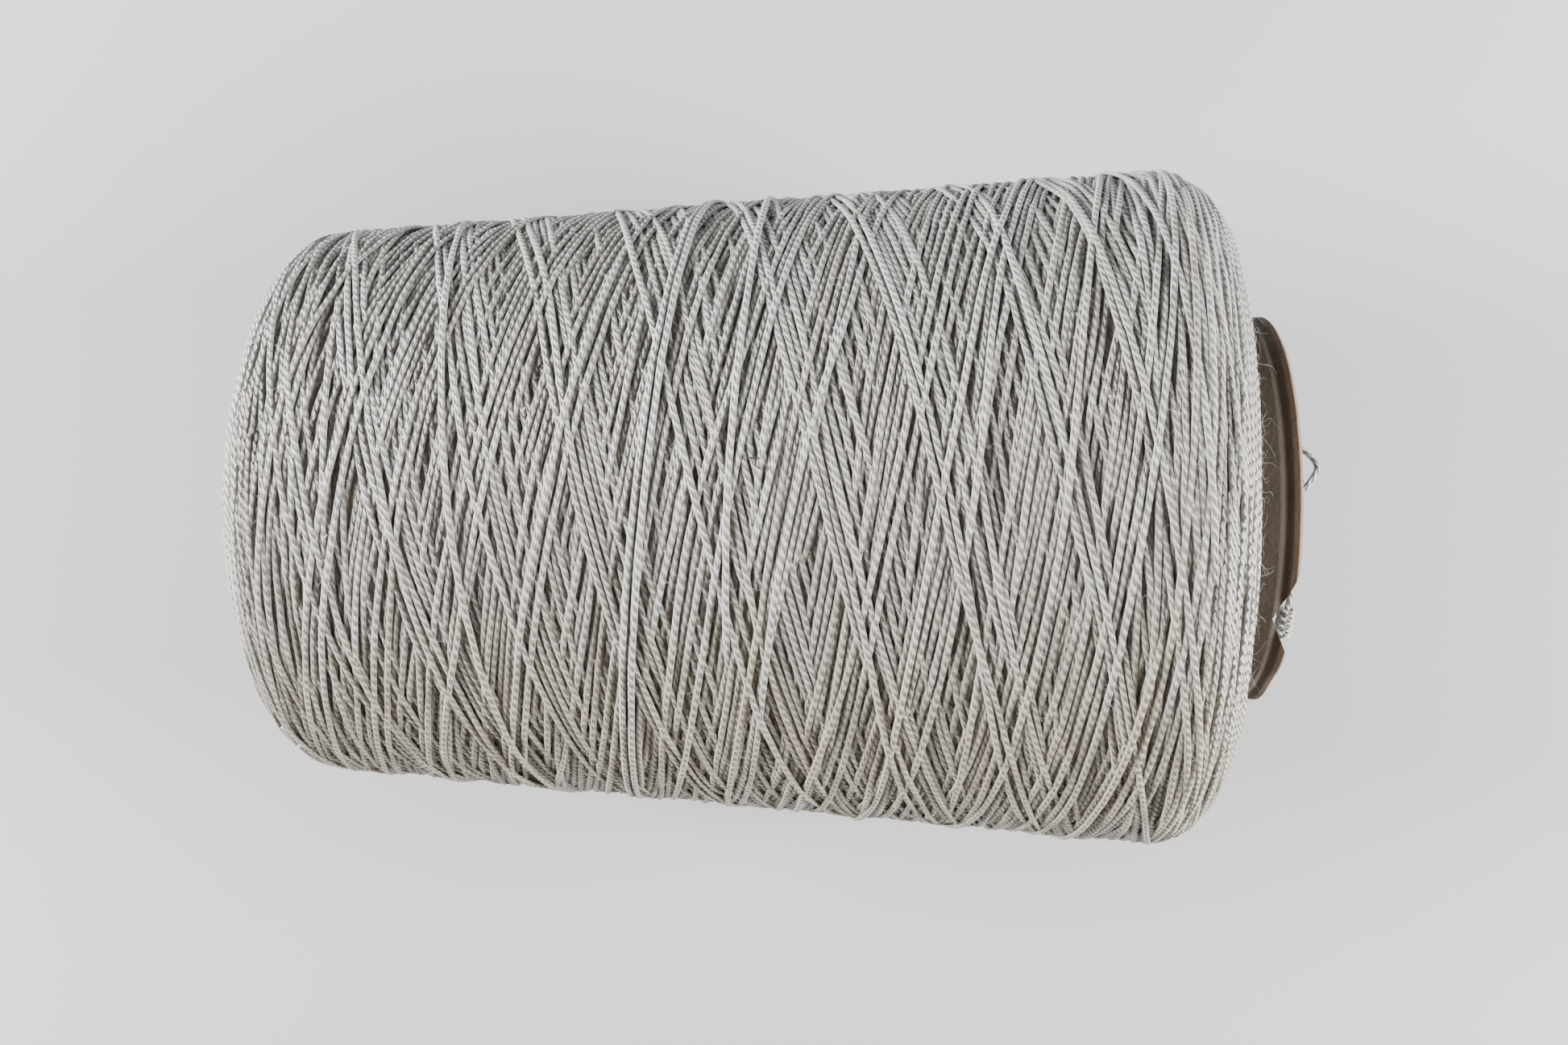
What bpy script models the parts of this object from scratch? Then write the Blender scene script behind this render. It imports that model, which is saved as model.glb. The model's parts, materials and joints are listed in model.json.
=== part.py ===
"""A cone of yarn that lies on its side: a cross-wound package on a paper core, with a knotted loose end.

Metres, +Z up. The cone lies along X with its narrow nose towards -X, and rests on a flat spot along
its side. The origin is on the surface that it lies on, under the middle of the package and the core.

Each piece is made on its own axis, +Z from the nose to the base, with 0 at the nose face of the yarn,
and one empty lays them down together. A bearing is the angle round the axis, from the side that
faces up when the cone lies down, towards -Y.
"""

import math

import bpy
import numpy as np
from mathutils import Vector

# The wound package
TRAVERSE = 0.150  # wound length along the axis
TAPER = math.radians(4.0)  # half the angle of the wound yarn
NOSE_RADIUS = 0.0444  # at the nose face, before the shoulder is rounded
NOSE_SHOULDER = (0.0094, 0.0166)  # along the axis, and across it
BASE_SHOULDER = (0.0103, 0.0130)
FLAT_SPOT_DEPTH = 0.0008  # how far the yarn is pressed in where it lies
PACKAGE_STEPS = 64
SLOPE_ROWS = 46
SHOULDER_ROWS = 6
FACE_ROWS = 3

# The main crossing bands of the winding
BANDS = 11
BAND_TURNS = 1.53  # turns round the package in one run from end to end
BAND_STEP = 2.399963  # radians from the start of one band to the next
BAND_SPREAD = 0.0027  # from the middle of a band to where it has fallen away
BAND_HEIGHT = 0.0008
BAND_TUCK = 0.8  # a band that passes under a later one keeps this share of its height

# The paper core
CORE_TAPER = math.radians(4.33)  # half the angle of the paper cone
CORE_RADIUS = 0.0311  # outside, at the base rim
CORE_WALL = 0.0020
BASE_OVERHANG = 0.0084  # how far the core stands out of the base face
NOSE_OVERHANG = 0.0035
CORE_STEPS = 72
RIM_ROUND = 0.0005
GROOVE_DEPTH = 0.00035  # the pressed line behind the rim
GROOVE_NEAR, GROOVE_FAR = 0.0013, 0.0033  # its edges, back from the rim
DENT_DEPTH = 0.0010  # the rim is bent in beside the notch
DENT_BEARING = math.radians(64.0)
DENT_SPREAD = math.radians(11.0)
NOTCH_BEARING = math.radians(32.5)
NOTCH_DEPTH = 0.0032
NOTCH_HALF_WIDTH = 0.0074

# The loose end
YARN_DIAMETER = 0.00085
GAP = 0.00035  # between pieces that touch on the real thing
TAIL_STEP = 0.0030
KNOT_TURNS = 4
KNOT_STEPS_PER_TURN = 7
KNOT_START = math.radians(33.5)  # bearings of the knot's two ends
KNOT_END = math.radians(45.5)
KNOT_AXIS_RADIUS = 0.0273
KNOT_AXIS_BACK = 0.0003  # back from the rim
KNOT_COIL_RADIUS = 0.00098

CORE_TOP = TRAVERSE + BASE_OVERHANG

# Where the tail runs. back: how far behind the rim's plane, or in front of it where negative.
# radius: from the axis. bearing: in degrees.
TAIL_COLUMNS = ("back", "radius", "bearing")
TAIL_TO_LOOP = (
    (0.00795, 0.03136, 140.0),  # out from under the yarn, on the hidden side
    (0.00540, 0.03156, 139.0),
    (0.00190, 0.03182, 137.5),
    (-0.00035, 0.03172, 136.5),  # over the rim
    (-0.00100, 0.03030, 135.5),
    (-0.00060, 0.02855, 134.0),
    (0.00050, 0.02795, 132.5),
    (0.00180, 0.02798, 130.0),  # along the inside of the mouth
    (0.00260, 0.02795, 120.0),
    (0.00280, 0.02795, 105.0),
    (0.00250, 0.02795, 90.0),
    (0.00220, 0.02765, 76.0),
    (0.00180, 0.02725, 66.0),
    (0.00140, 0.02718, 58.0),
    (0.00090, 0.02722, 51.0),
    (0.00040, 0.02725, 46.0),  # through the knot
    (0.00030, 0.02730, 40.0),
    (0.00030, 0.02730, 33.5),
    (0.00030, 0.02765, 27.0),
    (0.00080, 0.02795, 20.0),
    (0.00150, 0.02800, 11.0),
    (0.00130, 0.02796, 3.0),
    (0.00010, 0.02800, -3.0),
    (-0.00160, 0.02790, -7.5),  # the loop past the rim
    (-0.00275, 0.02780, -12.0),
    (-0.00170, 0.02775, -16.0),
    (0.00030, 0.02770, -19.0),
    (0.00200, 0.02720, -20.0),
    (0.00230, 0.02650, -16.5),
    (0.00070, 0.02620, -12.5),
    (-0.00100, 0.02630, -8.0),
    (-0.00010, 0.02660, -2.0),
    (0.00130, 0.02690, 5.0),  # back beside itself
    (0.00230, 0.02700, 13.0),
    (0.00250, 0.02725, 21.0),
    (0.00230, 0.02745, 27.0),
    (0.00175, 0.02735, 31.0),
)
TAIL_END = ((0.00020, 0.02600, 48.0), (0.00080, 0.02520, 50.5))


def clear_scene():
    for thing in list(bpy.data.objects):
        bpy.data.objects.remove(thing, do_unlink=True)


def material(name, colour, roughness):
    made = bpy.data.materials.new(name)
    made.use_nodes = True
    shader = made.node_tree.nodes["Principled BSDF"]
    shader.inputs["Base Color"].default_value = (*colour, 1.0)
    shader.inputs["Roughness"].default_value = roughness
    shader.inputs["Metallic"].default_value = 0.0
    return made


def package_radius(along):
    return NOSE_RADIUS + along * math.tan(TAPER)


def core_radius(along):
    return CORE_RADIUS - (CORE_TOP - along) * math.tan(CORE_TAPER)


def even(start, end, rows):
    """Points on a straight line, both ends in."""
    return [tuple(point) for point in np.linspace(start, end, rows + 1)]


def shoulder(corner, along, across, rows):
    """A quarter of an ellipse from the end face out to the side, round a corner (radius, height)."""
    turn = np.linspace(0.0, math.pi / 2.0, rows + 1)
    radius, height = corner
    return [
        (radius - across * (1.0 - math.sin(a)), height - along * (1.0 - math.cos(a)))
        for a in turn
    ]


def package_profile():
    """The closed section, as (radius, height): out over the base face, down the side, and up the bore."""
    base_along, base_across = BASE_SHOULDER
    nose_along, nose_across = NOSE_SHOULDER
    base_corner = (package_radius(TRAVERSE - base_along), TRAVERSE)
    nose_corner = (package_radius(nose_along), 0.0)
    base_bore = (core_radius(TRAVERSE) + GAP, TRAVERSE)
    nose_bore = (core_radius(0.0) + GAP, 0.0)
    base_round = shoulder(base_corner, base_along, base_across, SHOULDER_ROWS)
    nose_round = shoulder(nose_corner, -nose_along, nose_across, SHOULDER_ROWS)[::-1]
    base_face = even(base_bore, base_round[0], FACE_ROWS)
    slope = even(base_round[-1], nose_round[0], SLOPE_ROWS)
    nose_face = even(nose_round[-1], nose_bore, FACE_ROWS)
    return base_face + base_round[1:] + slope[1:] + nose_round[1:] + nose_face[1:]


def core_profile():
    """The closed section of the paper cone: its rounded rim, pressed groove, side, nose and bore."""
    slope = math.tan(CORE_TAPER)
    nose = -NOSE_OVERHANG
    outer_rim = core_radius(CORE_TOP)
    inner_rim = outer_rim - CORE_WALL
    outer_nose = core_radius(nose)
    inner_nose = outer_nose - CORE_WALL
    rim = [
        (inner_rim, CORE_TOP - RIM_ROUND),
        (inner_rim + RIM_ROUND, CORE_TOP),
        (outer_rim - RIM_ROUND, CORE_TOP),
        (outer_rim - slope * RIM_ROUND, CORE_TOP - RIM_ROUND),
    ]
    groove = []
    for share in np.linspace(0.0, 1.0, 7):
        back = GROOVE_NEAR + share * (GROOVE_FAR - GROOVE_NEAR)
        pressed = GROOVE_DEPTH * (1.0 - math.cos(2.0 * math.pi * share)) / 2.0
        groove.append((outer_rim - slope * back - pressed, CORE_TOP - back))
    side = even(groove[-1], (outer_nose, nose + RIM_ROUND), 6)[1:]
    end = [(outer_nose - RIM_ROUND, nose), (inner_nose + RIM_ROUND, nose)]
    bore = even((inner_nose, nose + RIM_ROUND), (inner_rim, CORE_TOP - RIM_ROUND), 6)
    return rim + groove + side + end + bore[:-1]


def turned(name, profile, steps):
    """A mesh turned from a closed section about +Z."""
    outline = bpy.data.meshes.new(name + "_section")
    count = len(profile)
    outline.from_pydata(
        [(radius, 0.0, height) for radius, height in profile],
        [(i, (i + 1) % count) for i in range(count)],
        [],
    )
    section = bpy.data.objects.new(name + "_section", outline)
    bpy.context.scene.collection.objects.link(section)
    screw = section.modifiers.new("turn", "SCREW")
    screw.axis = "Z"
    screw.angle = 2.0 * math.pi
    screw.steps = screw.render_steps = steps
    screw.use_merge_vertices = True
    screw.merge_threshold = 0.00002
    graph = bpy.context.evaluated_depsgraph_get()
    mesh = bpy.data.meshes.new_from_object(section.evaluated_get(graph))
    mesh.name = name
    bpy.data.objects.remove(section, do_unlink=True)
    return mesh


def points_of(mesh):
    flat = np.empty(len(mesh.vertices) * 3)
    mesh.vertices.foreach_get("co", flat)
    return flat.reshape(-1, 3)


def put_points(mesh, points):
    mesh.vertices.foreach_set("co", points.ravel())
    mesh.update()


def bearing_of(points):
    """The angle round the axis from the side that will face up, towards -Y."""
    return np.arctan2(-points[:, 1], -points[:, 0])


def band_relief(along, bearing):
    """How high the crossing bands stand at each point. A later band lies over an earlier one."""
    low = NOSE_SHOULDER[0]
    high = TRAVERSE - BASE_SHOULDER[0]
    rise = (high - low) / (BAND_TURNS * 2.0 * math.pi)
    lean = math.cos(math.atan(rise / package_radius(TRAVERSE / 2.0)))
    relief = np.zeros_like(along)
    for band in range(BANDS):
        turned_by = np.mod(bearing - band * BAND_STEP, 2.0 * math.pi)
        ridge = np.zeros_like(along)
        for turn in range(math.ceil(BAND_TURNS)):
            run = rise * (turned_by + 2.0 * math.pi * turn)
            run = np.minimum(run, high - low)
            middle = low + run if band % 2 == 0 else high - run
            away = (along - middle) * lean / BAND_SPREAD
            ridge = np.maximum(ridge, BAND_HEIGHT * np.exp(-(away**2)))
        relief = np.maximum(relief * BAND_TUCK, ridge)
    return relief


def side_share(along):
    """1 along the tapered side, falling to 0 over the shoulders."""
    from_nose = np.clip(along / NOSE_SHOULDER[0], 0.0, 1.0)
    from_base = np.clip((TRAVERSE - along) / BASE_SHOULDER[0], 0.0, 1.0)
    return np.minimum(from_nose, from_base) ** 2


def wind_package():
    """The package: the turned form, its bands raised in its points, and its flat spot underneath."""
    mesh = turned("yarn_package", package_profile(), PACKAGE_STEPS)
    points = points_of(mesh)
    radius = np.hypot(points[:, 0], points[:, 1])
    along = points[:, 2]
    bore = core_radius(along) + GAP
    outer = side_share(along) * (radius > bore + GAP)
    raised = outer * (band_relief(along, bearing_of(points)) - BAND_HEIGHT / 2.0)
    points[:, :2] *= ((radius + raised) / radius)[:, None]
    lying = package_radius(along) - FLAT_SPOT_DEPTH
    points[:, 0] = np.minimum(points[:, 0], lying)
    put_points(mesh, points)
    return bpy.data.objects.new("yarn_package", mesh)


def notch_cutter():
    """A three-sided wedge that points down into the rim, twice as deep as the notch that it leaves."""
    high = 2.0 * NOTCH_DEPTH
    wide = 2.0 * NOTCH_HALF_WIDTH
    outer = 2.0 * CORE_WALL
    front = [(0.0, 0.0, outer), (wide, high, outer), (-wide, high, outer)]
    rear = [(x, y, -outer) for x, y, _ in front]
    sides = [(0, 1, 2), (5, 4, 3), (0, 3, 4, 1), (1, 4, 5, 2), (2, 5, 3, 0)]
    mesh = bpy.data.meshes.new("notch_cutter")
    mesh.from_pydata(front + rear, [], sides)
    cutter = bpy.data.objects.new("notch_cutter", mesh)
    out_angle = math.pi + NOTCH_BEARING
    outwards = Vector((math.cos(out_angle), math.sin(out_angle), 0.0))
    cutter.rotation_mode = "QUATERNION"
    cutter.rotation_quaternion = outwards.to_track_quat("Z", "Y")
    cutter.location = outwards * (CORE_RADIUS - CORE_WALL / 2.0)
    cutter.location.z = CORE_TOP - NOTCH_DEPTH
    cutter.hide_render = True
    cutter.display_type = "WIRE"
    return cutter


def roll_core(cutter):
    """The paper cone, with its rim bent in at one place and notched beside it."""
    mesh = turned("core", core_profile(), CORE_STEPS)
    points = points_of(mesh)
    radius = np.hypot(points[:, 0], points[:, 1])
    beside = np.exp(-(((bearing_of(points) - DENT_BEARING) / DENT_SPREAD) ** 2))
    out_of_yarn = np.clip((points[:, 2] - TRAVERSE) / BASE_OVERHANG, 0.0, 1.0)
    bent = radius - DENT_DEPTH * beside * out_of_yarn**2
    points[:, :2] *= (bent / radius)[:, None]
    put_points(mesh, points)
    core = bpy.data.objects.new("core", mesh)
    cut = core.modifiers.new("notch", "BOOLEAN")
    cut.operation = "DIFFERENCE"
    cut.solver = "EXACT"
    cut.object = cutter
    return core


def at(back, radius, bearing):
    """The point at a bearing in radians, back from the plane of the core's rim."""
    return np.array(
        (-radius * math.cos(bearing), -radius * math.sin(bearing), CORE_TOP - back)
    )


def smooth_line(points, step):
    """Points about a step apart on the smooth curve through the given points."""
    points = np.asarray(points)
    padded = np.vstack((2 * points[0] - points[1], points, 2 * points[-1] - points[-2]))
    line = [points[0]]
    for a, b, c, d in zip(padded, padded[1:], padded[2:], padded[3:]):
        count = max(1, round(np.linalg.norm(c - b) / step))
        for share in np.arange(1, count + 1) / count:
            bend = (2 * a - 5 * b + 4 * c - d) * share**2
            bend += (3 * b - a - 3 * c + d) * share**3
            line.append(b + ((c - a) * share + bend) / 2.0)
    return line


def knot_coil():
    """The turns that the end takes round its own standing part."""
    count = KNOT_TURNS * KNOT_STEPS_PER_TURN
    coil = []
    for i in range(count + 1):
        share = i / count
        bearing = KNOT_START + share * (KNOT_END - KNOT_START)
        turn = 2.0 * math.pi * KNOT_TURNS * share
        back = KNOT_AXIS_BACK + KNOT_COIL_RADIUS * math.cos(turn)
        radius = KNOT_AXIS_RADIUS + KNOT_COIL_RADIUS * math.sin(turn)
        coil.append(at(back, radius, bearing))
    return coil


def tail_line():
    standing = [at(back, radius, math.radians(b)) for back, radius, b in TAIL_TO_LOOP]
    end = [at(back, radius, math.radians(b)) for back, radius, b in TAIL_END]
    return smooth_line(standing, TAIL_STEP) + knot_coil() + end


def lay_tail():
    """The loose end: one length of yarn, as a tube on its route."""
    line = tail_line()
    curve = bpy.data.curves.new("tail", "CURVE")
    curve.dimensions = "3D"
    curve.bevel_depth = YARN_DIAMETER / 2.0
    curve.bevel_resolution = 2
    curve.use_fill_caps = True
    spline = curve.splines.new("POLY")
    spline.points.add(len(line) - 1)
    for point, place in zip(spline.points, line):
        point.co = (*place, 1.0)
    return bpy.data.objects.new("tail", curve)


def lay_down(empty, pieces):
    """Turns the cone onto its side, and stands its lowest middle on the origin."""
    empty.rotation_euler = (0.0, math.pi / 2.0 - TAPER, 0.0)
    bpy.context.view_layer.update()
    corners = [p.matrix_world @ v.co for p in pieces for v in p.data.vertices]
    low = [min(c[axis] for c in corners) for axis in range(3)]
    high = [max(c[axis] for c in corners) for axis in range(3)]
    empty.location = (-(low[0] + high[0]) / 2.0, -(low[1] + high[1]) / 2.0, -low[2])


def collection(name):
    made = bpy.data.collections.new(name)
    bpy.context.scene.collection.children.link(made)
    return made


def main():
    clear_scene()
    parts = collection("cone_of_yarn")
    cutters = collection("cutters")
    yarn = material("ecru_yarn", (0.72, 0.69, 0.63), 0.8)
    paper = material("brown_paper", (0.24, 0.17, 0.11), 0.9)

    cutter = notch_cutter()
    package = wind_package()
    core = roll_core(cutter)
    tail = lay_tail()
    for piece, finish in ((package, yarn), (core, paper), (tail, yarn)):
        piece.data.materials.append(finish)
        parts.objects.link(piece)
    cutters.objects.link(cutter)

    axis = bpy.data.objects.new("axis", None)
    parts.objects.link(axis)
    for piece in (package, core, tail, cutter):
        piece.parent = axis
    for piece in (package, core):
        piece.data.shade_smooth()
        piece.data.set_sharp_from_angle(angle=math.radians(40.0))
    lay_down(axis, (package, core))


main()
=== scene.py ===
import json
import math

import bpy
import numpy as np
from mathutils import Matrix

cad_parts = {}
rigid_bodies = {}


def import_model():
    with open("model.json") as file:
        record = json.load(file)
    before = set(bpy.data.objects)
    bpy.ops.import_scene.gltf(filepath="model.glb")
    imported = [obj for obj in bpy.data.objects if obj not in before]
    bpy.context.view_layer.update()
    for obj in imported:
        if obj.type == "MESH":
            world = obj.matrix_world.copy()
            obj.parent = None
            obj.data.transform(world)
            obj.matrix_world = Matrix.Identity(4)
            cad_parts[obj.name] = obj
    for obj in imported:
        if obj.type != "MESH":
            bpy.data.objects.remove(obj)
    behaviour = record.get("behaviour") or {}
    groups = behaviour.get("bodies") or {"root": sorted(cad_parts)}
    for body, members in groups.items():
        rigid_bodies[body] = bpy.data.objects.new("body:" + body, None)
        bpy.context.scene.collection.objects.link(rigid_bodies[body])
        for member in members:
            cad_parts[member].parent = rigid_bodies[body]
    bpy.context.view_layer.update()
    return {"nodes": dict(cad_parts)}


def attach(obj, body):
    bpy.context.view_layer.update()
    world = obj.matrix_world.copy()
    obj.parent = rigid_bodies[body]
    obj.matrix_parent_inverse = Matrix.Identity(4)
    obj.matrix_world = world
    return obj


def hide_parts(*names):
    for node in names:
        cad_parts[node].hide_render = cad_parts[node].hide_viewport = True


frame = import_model()

# Where the cone lies. Bearings are angles round its axis, from the side that faces up, towards -Y.
cone = {
    "axisAt": (-0.07769, -0.00024, 0.04349),  # the axis at the nose face of the yarn
    "lean": math.radians(4.0),
    "traverse": 0.150,
    "taper": math.radians(4.0),
    "noseRadius": 0.0444,
    "noseShoulder": (0.0094, 0.0166),  # along the axis, and across it
    "baseShoulder": (0.0103, 0.0130),
    "boreRadius": (0.0197, 0.0309),  # at the nose and at the base
}

yarn = {
    "halfWidth": 0.00044,
    "halfHeight": 0.00037,
    "drawnWidth": 0.00053,  # half the width as drawn: soft strands press into their neighbours
    "sides": 5,
    "plyPitch": 0.0031,  # one whole turn of the two plies
    "squash": 0.00030,  # how far one strand sinks into the one below
}

winding = {
    "seed": 11,
    "passes": 330,
    "turnsOut": 2.05,  # turns round the cone in a pass from the nose to the base
    "turnsBack": 2.75,
    "layShift": 0.0112,  # how far round, in turns, a strand lies from the one laid ten passes before
    "layJitter": 0.0022,
    "turnZone": 0.080,  # how far a strand runs before it has turned back to its full slope
    "sampleStep": 0.0006,
    "ringEvery": 5,
    "sagRadius": 0.014,  # how tightly a strand follows the hollows below it
    "cell": 0.0004,
    "bearingCells": 880,
    "wander": 0.0004,
    "noseReach": (0.013, 0.005),  # how far round the shoulder the first and last passes reach
    "baseReach": (0.012, 0.005),
    "arcsEachEnd": 400,
    "arcLength": (0.030, 0.062),
    "arcDive": 0.0011,
    "edgeEvery": 3,  # a turn almost round each shoulder follows every third pass
    "edgeSpread": (-0.010, 0.010),  # from the crown, towards the middle and over the shoulder
    "edgeLength": (0.16, 0.42),
    "slideReach": 0.0015,  # how far a strand may slip sideways
    "settleEvery": 5,
    "meanRadius": 0.0495,
    "meanSlope": 0.25,
    "turnStart": 0.004,  # the speed at the very turn is that of this far from it
    "wanderSizes": (0.090, 0.170, 0.400),
    "slack": 0.004,  # the most that one of the last strands stands off, for a whole share
    "farSlide": (13, 161),  # how many places are tried, and over how many samples they are smoothed
    "nearSlide": (5, 61),
    "edgeSlide": (13, 121),
    "arcSlide": (7, 31),
    "edgeSink": 0.014,  # how far from its end a shoulder turn starts to sink
    "proudDive": 0.0016,
    "settleSize": 0.005,
    "endLevel": -0.0012,  # how high the turns on the end faces may build up
    "proud": (  # loose strands over the top: bearing and run at both ends, lift, tone
        (-2.75, 0.0950, 1.70, 0.0775, 0.0008, -1.6),
        (-2.75, 0.0961, 1.70, 0.0786, 0.0009, -2.0),
        (-1.90, 0.1000, 0.60, 0.0972, 0.0006, -1.0),
        (0.20, 0.1560, 2.60, 0.1390, 0.0006, 1.4),
        (-1.60, 0.0480, 1.90, 0.0700, 0.0006, 0.6),
    ),
    "shares": (0.0, 0.42, 0.59, 0.73, 0.87, 1.0),  # which passes go into which piece
    "buried": 0.0006,  # a strand this far below the top shows nowhere
    "flatten": (0.58, 0.50),  # how much of the depth below and above the mean surface is kept
    "flattenEnds": (0.40, 0.30),  # the same over the shoulders and the end faces
    "crownBlend": 0.008,  # the two pairs above blend over this far from each crown
    "levelSpan": 0.0021,  # heights over this span go from level 0 to level 1
    "sunk": 0.00045,  # how far the mean surface of the strands' middles lies under the solid's
}


def smoothStep(x):
    # 0 below 0, 1 above 1, and three x squared less two x cubed between
    x = np.clip(x, 0.0, 1.0)
    return x * x * (3.0 - 2.0 * x)


def toRow(bearing, along, radius):
    # a point of the upright cone, tipped over by the lean and set on its axis
    up = radius * np.cos(bearing)
    cosLean, sinLean = math.cos(cone["lean"]), math.sin(cone["lean"])
    x = along * cosLean - up * sinLean + cone["axisAt"][0]
    y = -radius * np.sin(bearing) + cone["axisAt"][1]
    z = along * sinLean + up * cosLean + cone["axisAt"][2]
    return np.stack((x, y, z), axis=-1)


def packageProfile():
    # the outline of the yarn as (along, radius), from bore to bore: a flat face, a quarter ellipse
    # over the nose shoulder, the straight side of the cone, a quarter ellipse and a flat face
    slope = math.tan(cone["taper"])
    noseAlong, noseAcross = cone["noseShoulder"]
    baseAlong, baseAcross = cone["baseShoulder"]
    noseCorner = cone["noseRadius"] + slope * noseAlong
    baseCorner = cone["noseRadius"] + slope * (cone["traverse"] - baseAlong)
    turn = np.linspace(0.0, math.pi / 2.0, 60)
    faceIn = np.linspace(cone["boreRadius"][0], noseCorner - noseAcross, 40)[:-1]
    faceOut = np.linspace(baseCorner - baseAcross, cone["boreRadius"][1], 40)[1:]
    side = np.linspace(noseAlong, cone["traverse"] - baseAlong, 400)[1:-1]
    noseRound = np.stack(
        (noseAlong * (1 - np.cos(turn)), noseCorner - noseAcross * (1 - np.sin(turn))), 1
    )
    baseRound = np.stack(
        (
            cone["traverse"] - baseAlong * (1 - np.cos(turn)),
            baseCorner - baseAcross * (1 - np.sin(turn)),
        ),
        1,
    )[::-1]
    return np.vstack(
        (
            np.stack((0 * faceIn, faceIn), 1),
            noseRound,
            np.stack((side, cone["noseRadius"] + slope * side), 1),
            baseRound,
            np.stack((0 * faceOut + cone["traverse"], faceOut), 1),
        )
    )


def profileTable():
    # even steps along the outline: its place, and its outward normal smoothed over a few steps
    line = packageProfile()
    run = np.concatenate(([0.0], np.cumsum(np.linalg.norm(np.diff(line, axis=0), axis=1))))
    run, keep = np.unique(run, return_index=True)
    line = line[keep]
    even = np.arange(0.0, run[-1], 0.0002)
    along = np.interp(even, run, line[:, 0])
    radius = np.interp(even, run, line[:, 1])
    kernel = np.ones(15) / 15.0
    normalAlong, normalRadius = (
        np.convolve(np.pad(slope, 7, mode="edge"), kernel, mode="valid")
        for slope in (-np.gradient(radius, even), np.gradient(along, even))
    )
    size = np.hypot(normalAlong, normalRadius)
    shoulders = (cone["noseShoulder"][0], cone["traverse"] - cone["baseShoulder"][0])
    crowns = [run[np.argmin(abs(line[:, 0] - s) + (line[:, 1] < 0.040))] for s in shoulders]
    return {
        "run": even,
        "along": along,
        "radius": radius,
        "normalAlong": normalAlong / size,
        "normalRadius": normalRadius / size,
        "noseCrown": crowns[0],
        "baseCrown": crowns[1],
        "end": even[-1],
    }


profile = profileTable()
print("profile:", round(profile["end"] * 1000, 1), "mm from bore to bore, crowns at",
      round(profile["noseCrown"] * 1000, 1), round(profile["baseCrown"] * 1000, 1))


def onProfile(bearing, run, height):
    # the point at a height over the outline, kept above the floor where the cone lies on it
    along = np.interp(run, profile["run"], profile["along"])
    radius = np.interp(run, profile["run"], profile["radius"])
    along = along + height * np.interp(run, profile["run"], profile["normalAlong"])
    radius = radius + height * np.interp(run, profile["run"], profile["normalRadius"])
    place = toRow(bearing, along, radius)
    place[..., 2] = np.maximum(place[..., 2], yarn["halfHeight"] + 0.00003)
    return place


def normalAt(bearing, run):
    # the outward normal at a place on the outline, as a row direction
    normalAlong = np.interp(run, profile["run"], profile["normalAlong"])
    normalRadius = np.interp(run, profile["run"], profile["normalRadius"])
    return toRow(bearing, normalAlong, normalRadius) - np.array(cone["axisAt"])


def meshFrom(name, points, quads, uvs=None, tones=None):
    # a mesh from whole arrays of points, four-cornered faces, corner UVs and two values a point:
    # the strand's own tone, and its level from 0 at the lowest to 1 at the top
    mesh = bpy.data.meshes.new(name)
    mesh.vertices.add(len(points))
    mesh.vertices.foreach_set("co", np.ascontiguousarray(points, dtype=np.float32).ravel())
    mesh.loops.add(quads.size)
    mesh.loops.foreach_set("vertex_index", quads.ravel().astype(np.int32))
    mesh.polygons.add(len(quads))
    mesh.polygons.foreach_set("loop_start", np.arange(0, quads.size, 4, dtype=np.int32))
    mesh.polygons.foreach_set("use_smooth", np.ones(len(quads), dtype=bool))
    mesh.update(calc_edges=True)
    if uvs is not None:
        layer = mesh.uv_layers.new(name="UVMap")
        layer.data.foreach_set("uv", uvs.reshape(-1, 2).astype(np.float32).ravel())
    if tones is not None:
        for index, layerName in enumerate(("tone", "level")):
            layer = mesh.attributes.new(layerName, "FLOAT", "POINT")
            layer.data.foreach_set("value", np.ascontiguousarray(tones[:, index], dtype=np.float32))
    piece = bpy.data.objects.new(name, mesh)
    bpy.context.scene.collection.objects.link(piece)
    return piece


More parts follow.
